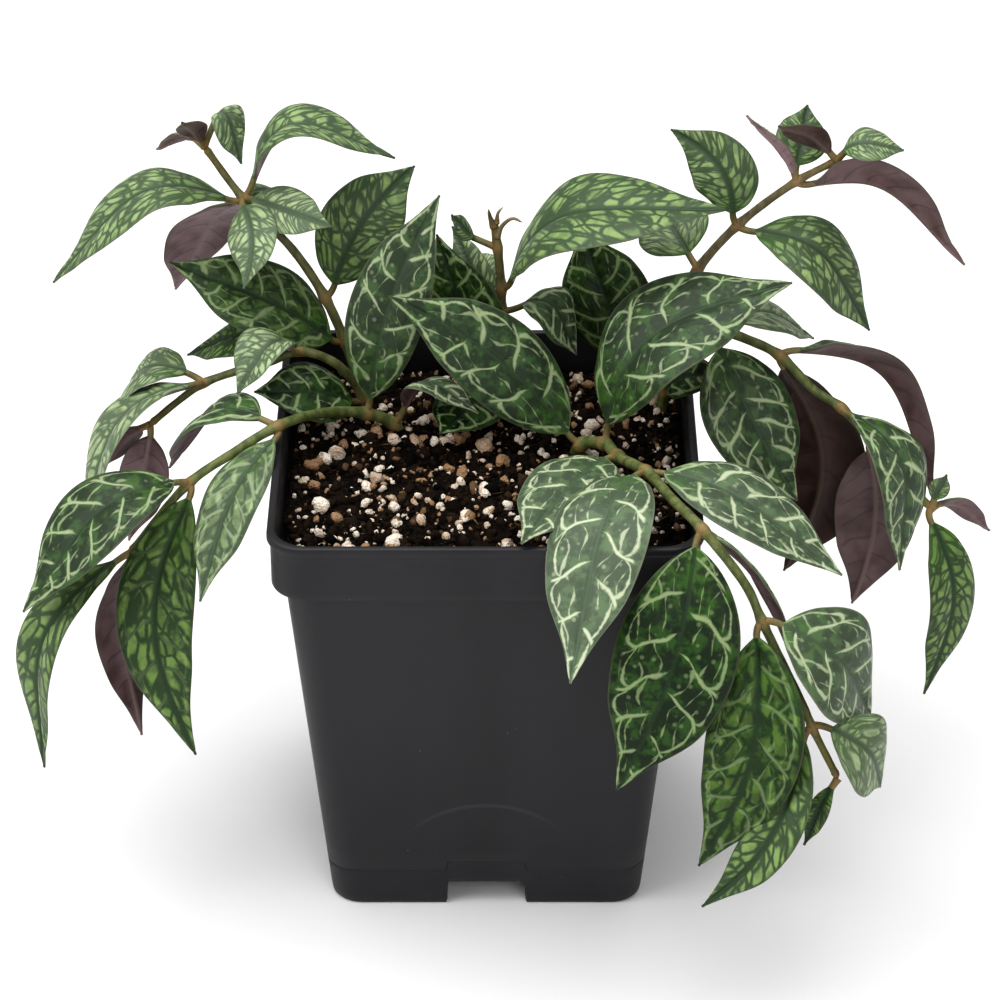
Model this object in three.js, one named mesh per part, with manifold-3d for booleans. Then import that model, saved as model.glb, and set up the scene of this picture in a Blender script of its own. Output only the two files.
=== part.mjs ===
// Potted lipstick plant: a square nursery pot, the soil in it, and seven leafy shoots that rise and trail.
// Millimetres, +Z up, front towards -Y. The origin is the middle of the whole plant's box, at table level.

import * as THREE from "three";
import { mergeVertices } from "three/addons/utils/BufferGeometryUtils.js";
import Module from "manifold-3d";

const wasm = await Module();
wasm.setup();

// Pot: half widths are measured from the pot's axis to a flat side.
const POT = {
  height: 122.5,
  footHalf: 41.5,
  shoulderHalf: 51,
  shoulderZ: 106,
  bandZ: 106.5,
  bandHalf: 54.2,
  lipHalf: 55,
  lipHeight: 2.5,
  wall: 1.8,
  floor: 2.2,
  cornerRadius: 9,
  cornerSteps: 4,
};
const CHANNEL = { width: 21, height: 7, roof: 2 };
const DRAIN = { radius: 4.5, offset: 22, sides: 16 };

// Soil: its top lies below the rim, and it keeps a small gap to the wall and to each stem.
const SOIL_TOP = 110;
const GAP = 0.35;
const SOCKET_SIDES = 10;

// Stems and leaves.
const STEM = { sides: 7, stepsPerSpan: 2 };
const LEAF = {
  stations: 10,
  youngStations: 7,
  petiole: 5,
  petioleRadius: 1.1,
  bladeHalfThickness: 0.55,
  tipHalfWidth: 0.35,
  widest: 0.42,
  fullness: 1.75,
  fold: 8,
  startGap: 0.5,
};

const COLOURS = {
  pot: 0x35363a,
  soil: 0x35271d,
  stem: 0x6f6b3c,
  leaf: 0x3a6a34,
};

// Each shoot is a stem through its points, thick at the soil and thin at the tip. A leaf grows from the
// stem's point number `at` to its tip, and `face` is the way its upper side looks. `arch` bows the midrib
// towards the face, `sweep` bows it sideways, and `twist` turns the blade about the midrib towards the tip.
// Leaves listed as young are still one with the growing shoot.
const SHOOTS = [
  {
    name: "upper_left",
    radii: [2.0, 1.2],
    path: [[-31, 34, 102], [-34, 35, 116], [-38, 36, 130], [-43, 38, 142], [-51, 40, 155], [-64, 43, 169],
      [-74, 46, 183]],
    leaves: [
      { at: 2, tip: [-83, 30, 157], face: [0.2, -0.5, 0.8], width: 24, arch: 4 },
      { at: 3, tip: [-19, 52, 174], face: [-0.2, -0.85, 0.4], width: 22, arch: 3, sweep: -3 },
      { at: 5, tip: [-114, 30, 151], face: [-0.3, 0, 0.95], width: 28, arch: 13 },
      { at: 5, tip: [-24, 45, 180], face: [0.1, 0.25, 0.95], width: 24, arch: 15 },
      { at: 5, tip: [-85, 62, 131], face: [-0.5, 0.8, 0.2], width: 22, arch: 4 },
      { at: 5, tip: [-40, 22, 172], face: [0.2, -0.8, 0.55], width: 15, arch: 1 },
      { at: 5, tip: [-63, 18, 156], face: [-0.3, -0.7, 0.6], width: 16, arch: 3, sweep: -4 },
    ],
    young: [
      { at: 5, tip: [-51, 60, 158], face: [0, 0, 1], width: 12, arch: 3 },
      { at: 6, tip: [-64, 40, 181], face: [0.3, -0.2, 0.95], width: 13, arch: 12 },
      { at: 6, tip: [-78, 30, 198], face: [-0.2, 0.8, 0.5], width: 8, arch: 2 },
      { at: 6, tip: [-87, 50, 180], face: [-0.6, 0.6, 0.5], width: 10, arch: 3 },
    ],
  },
  {
    name: "left",
    radii: [1.8, 1.2],
    path: [[-30, 30, 102], [-33, 29, 116], [-40, 27, 128], [-50, 25, 133], [-57, 23, 131], [-65, 22, 129],
      [-75, 20, 126], [-82, 17, 122], [-89, 12, 118]],
    leaves: [
      { at: 3, tip: [-65, 8, 130], face: [-0.2, -0.3, 0.9], width: 17, arch: 8 },
      { at: 1, tip: [-61, 14, 127], face: [-0.2, -0.5, 0.8], width: 19, arch: 3 },
      { at: 6, tip: [-100, 28, 112], face: [-0.2, 0, 1], width: 22, arch: 8 },
      { at: 6, tip: [-107, -5, 94], face: [-0.7, -0.1, 0.7], width: 18, arch: 11 },
      { at: 8, tip: [-96, 10, 83], face: [0.3, 0.9, 0.1], width: 14, arch: 2 },
    ],
    young: [
      { at: 3, tip: [-80, 35, 126], face: [-0.2, -0.2, 1], width: 16, arch: 6 },
      { at: 8, tip: [-103, 14, 103], face: [-0.5, 0.8, 0.3], width: 10, arch: 2 },
    ],
  },
  {
    name: "front_left",
    radii: [2.0, 1.3],
    path: [[-20, 23, 102], [-25, 21, 113], [-32, 18, 118], [-41, 12, 122], [-54, -5, 128], [-66, -9, 122],
      [-77, -12, 115], [-93, -18, 97]],
    leaves: [
      { at: 2, tip: [-12, 26, 179], face: [-0.2, -0.85, 0.4], width: 21, arch: 3, sweep: -3 },
      { at: 1, tip: [-2, 8, 124], face: [0, -0.3, 0.95], width: 16, arch: 4 },
      { at: 4, tip: [-84, 10, 106], face: [-0.1, 0.1, 1], width: 24, arch: 9 },
      { at: 4, tip: [-73, -40, 97], face: [-0.4, -0.5, 0.75], width: 17, arch: 4, sweep: 2 },
      { at: 6, tip: [-76, -42, 50], face: [-0.2, -0.9, 0.4], width: 21, arch: 3, sweep: 7 },
      { at: 6, tip: [-119, -36, 91], face: [-0.4, -0.4, 0.8], width: 25, arch: 11 },
      { at: 7, tip: [-117, -34, 40], face: [-0.85, -0.3, 0.3], width: 18, arch: 14 },
      { at: 7, tip: [-93, -14, 36], face: [-0.7, 0.7, 0.2], width: 16, arch: 7 },
    ],
    young: [],
  },
  {
    name: "middle",
    radii: [2.0, 1.4],
    path: [[4, 35, 102], [4, 36, 120], [4, 38, 138], [4, 38, 145], [3, 38, 157], [2, 39, 165]],
    leaves: [
      { at: 1, tip: [-13, 38, 161], face: [-0.3, -0.85, 0.4], width: 21, arch: 3 },
      { at: 1, tip: [-12, 6, 119], face: [-0.1, -0.5, 0.85], width: 18, arch: -1, petiole: 9 },
      { at: 3, tip: [62, 20, 178], face: [-0.2, -0.2, 0.95], width: 30, arch: 15 },
      { at: 2, tip: [24, 30, 129], face: [0.4, -0.3, 0.85], width: 18, arch: 10 },
    ],
    young: [
      { at: 2, tip: [-9, 48, 158], face: [-0.4, -0.7, 0.4], width: 10, arch: 3 },
      { at: 3, tip: [-6, 52, 146], face: [0, -0.6, 0.8], width: 10, arch: 3 },
      { at: 4, tip: [-7, 34, 168], face: [0, -0.5, 0.8], width: 5, arch: -3 },
    ],
  },
  {
    name: "upper_right",
    radii: [2.0, 1.2],
    path: [[42, 36, 102], [44, 36, 118], [50, 35, 140], [56, 34, 153], [66, 34, 166], [81, 34, 179],
      [91, 34, 185]],
    leaves: [
      { at: 1, tip: [25, 50, 157], face: [-0.3, -0.85, 0.4], width: 25, arch: 3, petiole: 12 },
      { at: 3, tip: [45, 52, 163], face: [0.1, -0.8, 0.5], width: 20, arch: 2 },
      { at: 4, tip: [48, 36, 193], face: [-0.3, -0.8, 0.5], width: 17, arch: 4, sweep: 6 },
      { at: 4, tip: [101, 24, 140], face: [0.3, -0.1, 0.95], width: 22, arch: 11 },
      { at: 5, tip: [84, 48, 194], face: [0.1, -0.9, 0.3], width: 14, arch: 1 },
      { at: 5, tip: [124, 18, 163], face: [0.2, 0.75, 0.6], width: 24, arch: 8 },
    ],
    young: [
      { at: 5, tip: [67, 30, 200], face: [0.5, -0.3, 0.8], width: 7, arch: 2 },
      { at: 6, tip: [75, 26, 199], face: [-0.2, 0.7, 0.6], width: 10, arch: 3 },
      { at: 6, tip: [108, 32, 189], face: [0, -0.2, 1], width: 14, arch: 4 },
    ],
  },
  {
    name: "right",
    radii: [2.0, 1.2],
    path: [[46, 32, 102], [48, 30, 118], [52, 27, 132], [60, 22, 141], [70, 18, 140], [77, 14, 138],
      [86, 10, 130], [93, 6, 127], [101, 2, 119], [109, -1, 111], [117, -4, 102]],
    leaves: [
      { at: 1, tip: [63, 18, 131], face: [-0.3, -0.5, 0.8], width: 12, arch: 5 },
      { at: 3, tip: [82, 0, 102], face: [0.3, -0.85, 0.4], width: 25, arch: 3, sweep: 2 },
      { at: 3, tip: [87, 30, 134], face: [0, 0, 1], width: 20, arch: 6 },
      { at: 5, tip: [119, 2, 99], face: [0.55, 0.5, 0.65], width: 24, arch: 15 },
      { at: 5, tip: [81, 18, 68], face: [0.5, 0.85, 0], width: 26, arch: 5, sweep: 10 },
      { at: 7, tip: [108, -18, 92], face: [0.7, -0.5, 0.4], width: 22, arch: 12 },
      { at: 8, tip: [99, 8, 64], face: [0.1, 0.95, -0.1], width: 22, arch: 3, sweep: 4 },
      { at: 10, tip: [117, -16, 51], face: [0.6, -0.7, 0.3], width: 17, arch: 6, sweep: -4 },
    ],
    young: [
      { at: 10, tip: [121, 0, 110], face: [-0.5, -0.7, 0.3], width: 6, arch: 1 },
      { at: 10, tip: [134, 4, 90], face: [0.3, 0.8, 0.4], width: 9, arch: 4 },
    ],
  },
  {
    name: "front_right",
    radii: [2.1, 1.2],
    path: [[22, 11, 102], [25, 7, 115], [31, 1, 119], [34, -10, 122], [41, -24, 126], [47, -42, 129],
      [54, -56, 129], [65, -62, 116], [69, -64, 107], [80, -70, 85], [82, -71, 80], [89, -74, 66]],
    leaves: [
      { at: 1, tip: [-25, 12, 157], face: [0.2, -0.75, 0.6], width: 26, arch: 2, sweep: 4 },
      { at: 2, tip: [79, 12, 161], face: [-0.3, -0.4, 0.85], width: 31, arch: 13, sweep: -5 },
      { at: 3, tip: [9, -56, 125], face: [-0.1, -0.3, 0.95], width: 23, arch: 3 },
      { at: 4, tip: [21, -82, 101], face: [-0.2, -0.3, 0.95], width: 26, arch: 12 },
      { at: 4, tip: [90, -46, 109], face: [0.2, -0.2, 0.95], width: 24, arch: 6 },
      { at: 6, tip: [33, -80, 67], face: [-0.1, -0.9, 0.3], width: 31, arch: 6, sweep: -4 },
      { at: 6, tip: [79, -56, 88], face: [0.85, 0.35, 0.4], width: 17, arch: 4 },
      { at: 8, tip: [54, -84, 46], face: [-0.2, -0.9, 0.4], width: 26, arch: 4, sweep: -7 },
      { at: 8, tip: [98, -58, 74], face: [0.3, -0.4, 0.85], width: 24, arch: 9 },
      { at: 10, tip: [101, -64, 56], face: [0.4, -0.4, 0.8], width: 17, arch: 7 },
      { at: 10, tip: [55, -88, 36], face: [-0.4, -0.8, 0.4], width: 17, arch: 3, sweep: -7 },
    ],
    young: [
      { at: 11, tip: [81, -78, 48], face: [-0.5, -0.7, 0.3], width: 6, arch: 2 },
    ],
  },
];

// A solid skin over rings of points that all have the same count, closed by a fan at each end. The rings
// turn anticlockwise when they are looked at from the last one.
function loft(rings) {
  const count = rings[0].length;
  const points = rings.flat();
  const faces = [];
  for (let r = 0; r + 1 < rings.length; r++) {
    for (let i = 0; i < count; i++) {
      const a = r * count + i;
      const b = r * count + ((i + 1) % count);
      faces.push(a, b, b + count, a, b + count, a + count);
    }
  }
  for (const [start, flip] of [[0, true], [(rings.length - 1) * count, false]]) {
    const middle = new THREE.Vector3();
    for (let i = 0; i < count; i++) middle.addScaledVector(points[start + i], 1 / count);
    const centre = points.push(middle) - 1;
    for (let i = 0; i < count; i++) {
      const a = start + i;
      const b = start + ((i + 1) % count);
      faces.push(...(flip ? [centre, b, a] : [centre, a, b]));
    }
  }
  const geometry = new THREE.BufferGeometry().setFromPoints(points);
  geometry.setIndex(faces);
  return geometry;
}

function toSolid(geometry) {
  const bare = geometry.clone();
  bare.deleteAttribute("normal");
  bare.deleteAttribute("uv");
  const merged = mergeVertices(bare, 1e-4);
  return new wasm.Manifold(
    new wasm.Mesh({
      numProp: 3,
      vertProperties: merged.attributes.position.array,
      triVerts: new Uint32Array(merged.index.array),
    }),
  );
}

function toGeometry(solid) {
  const mesh = solid.getMesh();
  const geometry = new THREE.BufferGeometry();
  geometry.setAttribute("position", new THREE.BufferAttribute(mesh.vertProperties, 3));
  geometry.setIndex(new THREE.BufferAttribute(mesh.triVerts, 1));
  geometry.computeVertexNormals();
  return geometry;
}

function box(width, depth, height, baseZ) {
  return toSolid(new THREE.BoxGeometry(width, depth, height).translate(0, 0, baseZ + height / 2));
}

function upright(radius, height, sides, x, y, baseZ) {
  const cylinder = new THREE.CylinderGeometry(radius, radius, height, sides).rotateX(Math.PI / 2);
  return toSolid(cylinder.translate(x, y, baseZ + height / 2));
}

// A level square ring with round corners.
function squareRing(half, z, radius = POT.cornerRadius) {
  const ring = [];
  for (let corner = 0; corner < 4; corner++) {
    const turn = (corner * Math.PI) / 2;
    const centre = new THREE.Vector2(half - radius, half - radius).rotateAround(new THREE.Vector2(), turn);
    for (let step = 0; step <= POT.cornerSteps; step++) {
      const angle = turn + (step / POT.cornerSteps) * (Math.PI / 2);
      ring.push(
        new THREE.Vector3(centre.x + radius * Math.cos(angle), centre.y + radius * Math.sin(angle), z),
      );
    }
  }
  return ring;
}

// The hollow of the pot, from its floor to height top, drawn in from the walls by inset. The raised channels
// that cross the floor stand up into it.
function hollow(top, inset) {
  const inner = POT.wall + inset;
  const radius = POT.cornerRadius - inner;
  const slope = (POT.shoulderHalf - POT.footHalf) / POT.shoulderZ;
  const floorZ = POT.floor + inset;
  const upperHalf = POT.bandHalf - inner;
  const rings = [
    squareRing(POT.footHalf + slope * floorZ - inner, floorZ, radius),
    squareRing(POT.shoulderHalf - inner, POT.bandZ, radius),
    squareRing(upperHalf, POT.bandZ + POT.wall, radius),
    squareRing(upperHalf, top, radius),
  ];
  const width = CHANNEL.width + 2 * (CHANNEL.roof + inset);
  const height = CHANNEL.height + CHANNEL.roof + inset;
  const length = 2 * POT.lipHalf;
  return toSolid(loft(rings)).subtract(box(width, length, height, 0)).subtract(box(length, width, height, 0));
}

function makePot() {
  const lipZ = POT.height - POT.lipHeight;
  const outer = loft([
    squareRing(POT.footHalf, 0),
    squareRing(POT.shoulderHalf, POT.shoulderZ),
    squareRing(POT.bandHalf, POT.bandZ),
    squareRing(POT.bandHalf, lipZ),
    squareRing(POT.lipHalf, lipZ + 0.5),
    squareRing(POT.lipHalf, POT.height),
  ]);
  const length = 3 * POT.footHalf;
  let pot = toSolid(outer).subtract(hollow(POT.height + 1, 0));
  pot = pot.subtract(box(CHANNEL.width, length, CHANNEL.height, -0.01));
  pot = pot.subtract(box(length, CHANNEL.width, CHANNEL.height, -0.01));
  for (const [x, y] of [[0, 0], [1, 0], [-1, 0], [0, 1], [0, -1]]) {
    const height = CHANNEL.height + 2 * CHANNEL.roof;
    pot = pot.subtract(upright(DRAIN.radius, height, DRAIN.sides, x * DRAIN.offset, y * DRAIN.offset, 0));
  }
  return toGeometry(pot);
}

function makeSoil() {
  let soil = hollow(SOIL_TOP, GAP);
  for (const { path, radii } of SHOOTS) {
    const [x, y, z] = path[0];
    const bottom = z - radii[0];
    const lean = new THREE.Vector2(path[1][0] - x, path[1][1] - y).length() / (path[1][2] - z);
    const radius = radii[0] + 2 * GAP + lean * (SOIL_TOP - z);
    soil = soil.subtract(upright(radius, SOIL_TOP + 1 - bottom, SOCKET_SIDES, x, y, bottom));
  }
  return toGeometry(soil);
}

// A stem: circles carried along a smooth curve through the shoot's points, thinner towards the tip.
function stemRings({ path, radii }) {
  const curve = new THREE.CatmullRomCurve3(path.map((p) => new THREE.Vector3(...p)), false, "centripetal");
  const steps = STEM.stepsPerSpan * (path.length - 1);
  const frames = curve.computeFrenetFrames(steps, false);
  const rings = [];
  for (let s = 0; s <= steps; s++) {
    const u = s / steps;
    const centre = curve.getPointAt(u);
    const radius = THREE.MathUtils.lerp(radii[0], radii[1], u);
    const ring = [];
    for (let i = 0; i < STEM.sides; i++) {
      const angle = (i / STEM.sides) * 2 * Math.PI;
      ring.push(
        centre
          .clone()
          .addScaledVector(frames.normals[s], radius * Math.cos(angle))
          .addScaledVector(frames.binormals[s], radius * Math.sin(angle)),
      );
    }
    rings.push(ring);
  }
  return rings;
}

function pointAt(shoot, at) {
  return new THREE.Vector3(...shoot.path[at]);
}

// Where a leaf's stalk begins: just off the skin of the stem, on the side that the leaf grows to. A stalk
// that runs nearly along the stem begins a little further out, so that its own side stays clear.
function leafStart(shoot, leaf) {
  const { path, radii } = shoot;
  const node = pointAt(shoot, leaf.at);
  const stemRadius = THREE.MathUtils.lerp(radii[0], radii[1], leaf.at / (path.length - 1));
  const before = pointAt(shoot, Math.max(leaf.at - 1, 0));
  const after = pointAt(shoot, Math.min(leaf.at + 1, path.length - 1));
  const stemWay = after.sub(before).normalize();
  const leafWay = new THREE.Vector3(...leaf.tip).sub(node).normalize();
  leafWay.addScaledVector(new THREE.Vector3(...leaf.face).normalize(), (3 * leaf.arch) / 60).normalize();
  const slant = leafWay.dot(stemWay);
  const outward = leafWay.addScaledVector(stemWay, -slant).normalize();
  const reach = stemRadius + LEAF.startGap + LEAF.petioleRadius * Math.abs(slant);
  return node.addScaledVector(outward, reach);
}

// A leaf: its midrib runs from the stem's axis to the tip and bows by sines of the way along. Each section
// across it is a thin lens, as wide as the leaf's outline there and folded a little along the midrib.
function leafRings(leaf, shoot, joined) {
  const petiole = leaf.petiole ?? LEAF.petiole;
  const fold = Math.tan(THREE.MathUtils.degToRad(leaf.fold ?? LEAF.fold));
  const twist = THREE.MathUtils.degToRad(leaf.twist ?? 0);
  const start = joined ? pointAt(shoot, leaf.at) : leafStart(shoot, leaf);
  const chord = new THREE.Vector3(...leaf.tip).sub(start);
  const length = chord.length();
  const along = chord.clone().normalize();
  const face = new THREE.Vector3(...leaf.face);
  face.addScaledVector(along, -face.dot(along)).normalize();
  const side = along.clone().cross(face);
  const midrib = (t) => {
    const bow = Math.sin(Math.PI * t) * (1 + 0.35 * Math.cos(Math.PI * t));
    const swing = Math.sin(Math.PI * t);
    return start
      .clone()
      .addScaledVector(chord, t)
      .addScaledVector(face, leaf.arch * bow)
      .addScaledVector(side, (leaf.sweep ?? 0) * swing);
  };
  const bladeFrom = petiole / length;
  const stations = joined ? LEAF.youngStations : LEAF.stations;
  const rings = [];
  for (let s = 0; s < stations; s++) {
    const v = (s - 1) / (stations - 2);
    const t = s === 0 ? 0 : bladeFrom + v * (1 - bladeFrom);
    const reach = Math.max(v, 0);
    const peak = LEAF.widest;
    const rise = (reach / peak) ** (peak * LEAF.fullness);
    const fall = ((1 - reach) / (1 - peak)) ** ((1 - peak) * LEAF.fullness);
    const petioleHalf = THREE.MathUtils.lerp(LEAF.petioleRadius, LEAF.tipHalfWidth, reach);
    const half = Math.max((leaf.width / 2) * rise * fall, petioleHalf);
    const thick = v <= 0 ? LEAF.petioleRadius : THREE.MathUtils.lerp(LEAF.bladeHalfThickness, 0.3, reach);
    const centre = midrib(t);
    const forward = midrib(t + 0.01).sub(midrib(t - 0.01)).normalize();
    const up = face.clone().addScaledVector(forward, -face.dot(forward)).normalize();
    up.applyAxisAngle(forward, twist * reach);
    const across = forward.clone().cross(up);
    const point = (q, lift) =>
      centre
        .clone()
        .addScaledVector(across, q * half)
        .addScaledVector(up, lift + half * fold * Math.abs(q));
    rings.push([
      point(-1, 0),
      point(-0.5, 0.8 * thick),
      point(0, thick),
      point(0.5, 0.8 * thick),
      point(1, 0),
      point(0.5, -0.8 * thick),
      point(0, -thick),
      point(-0.5, -0.8 * thick),
    ]);
  }
  return rings;
}

const plant = new THREE.Group();

function add(name, geometry, colour, roughness) {
  const material = new THREE.MeshStandardMaterial({ color: colour, roughness, metalness: 0 });
  const mesh = new THREE.Mesh(geometry, material);
  mesh.name = name;
  plant.add(mesh);
}

add("pot", makePot(), COLOURS.pot, 0.45);
add("soil", makeSoil(), COLOURS.soil, 0.95);
for (const shoot of SHOOTS) {
  let stem = toSolid(loft(stemRings(shoot)));
  for (const leaf of shoot.young) {
    stem = stem.add(toSolid(loft(leafRings(leaf, shoot, true))));
  }
  add(`stem_${shoot.name}`, toGeometry(stem), COLOURS.stem, 0.6);
  shoot.leaves.forEach((leaf, i) => {
    add(`leaf_${shoot.name}_${i + 1}`, loft(leafRings(leaf, shoot, false)), COLOURS.leaf, 0.4);
  });
}

const bounds = new THREE.Box3().setFromObject(plant);
const centre = bounds.getCenter(new THREE.Vector3());
plant.position.set(-centre.x, -centre.y, -bounds.min.z);

export default plant;
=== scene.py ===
"""Potted lipstick plant: a square nursery pot, gritty soil, and trailing shoots of net-veined leaves.

The plant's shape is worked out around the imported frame. Lengths in the tables are millimetres from the
pot's axis at table level, and everything that is made is in metres.
"""

import math

import bpy
import numpy as np
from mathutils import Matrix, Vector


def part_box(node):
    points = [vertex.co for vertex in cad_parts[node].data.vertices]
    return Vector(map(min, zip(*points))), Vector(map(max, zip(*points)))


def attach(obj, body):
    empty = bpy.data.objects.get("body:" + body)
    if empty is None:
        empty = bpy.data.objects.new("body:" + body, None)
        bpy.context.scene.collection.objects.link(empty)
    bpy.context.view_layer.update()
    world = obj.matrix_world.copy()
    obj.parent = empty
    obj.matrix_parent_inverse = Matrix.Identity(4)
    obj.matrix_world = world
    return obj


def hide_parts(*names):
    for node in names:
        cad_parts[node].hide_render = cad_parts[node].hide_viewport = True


bl_info = {
    "name": "Potted lipstick plant",
    "version": (1, 0, 0),
    "blender": (4, 5, 0),
    "location": "View3D > Sidebar > Plant",
    "description": "Builds a potted lipstick plant around its packed frame",
    "category": "Add Mesh",
}

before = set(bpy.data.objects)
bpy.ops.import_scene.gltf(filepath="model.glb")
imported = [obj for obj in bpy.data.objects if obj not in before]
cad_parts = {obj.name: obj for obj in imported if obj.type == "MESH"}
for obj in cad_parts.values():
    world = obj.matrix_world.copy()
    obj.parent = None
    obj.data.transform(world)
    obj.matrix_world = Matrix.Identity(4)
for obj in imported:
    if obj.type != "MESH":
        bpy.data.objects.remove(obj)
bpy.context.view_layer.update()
MM = 0.001
POT_LOW, POT_HIGH = (np.array(corner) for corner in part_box("pot"))
SOIL_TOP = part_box("soil")[1][2]
AXIS = np.array([(POT_LOW[0] + POT_HIGH[0]) / 2, (POT_LOW[1] + POT_HIGH[1]) / 2, POT_LOW[2]])

# How a leaf is proportioned: millimetres, fractions of the blade, and degrees.
PETIOLE = 5.0
BLADE_HALF_THICKNESS = 0.5
TIP_HALF_WIDTH = 0.35
WIDEST = 0.42
FULLNESS = 1.75
FOLD = 13.0
CURL = 0.24
START_GAP = 0.5
STALK_RADIUS = 0.85
STALK_SHARE = 0.55

# Side veins: how much they slant at the midrib, how much more at the margin, and how far the two sides
# of the blade are out of step, as a share of the spacing.
VEIN_SLANT = 0.42
VEIN_BEND = 0.38
VEIN_OFFSET = 0.43

# Places in a Mix node's list of sockets where its colours are.
MIX_LOW, MIX_HIGH, MIX_RESULT = 6, 7, 2


def leaf(at, tip, face, width, arch, **more):
    """One leaf of a shoot. `at` counts the stem's points, and `tip` and `face` place the blade. The rest
    is its look: `age` runs from 0, pale veins on dark green, to 1, bright cells in a dark net, and the
    painted sheen from a deep green to a silvery one, a painted reflection of the soft lights."""
    return dict(at=at, tip=tip, face=face, width=width, arch=arch, **more)


# In each leaf the last number is a painted sheen: it greys the leaf's colours in place of the soft
# reflection of the lights.
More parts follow.
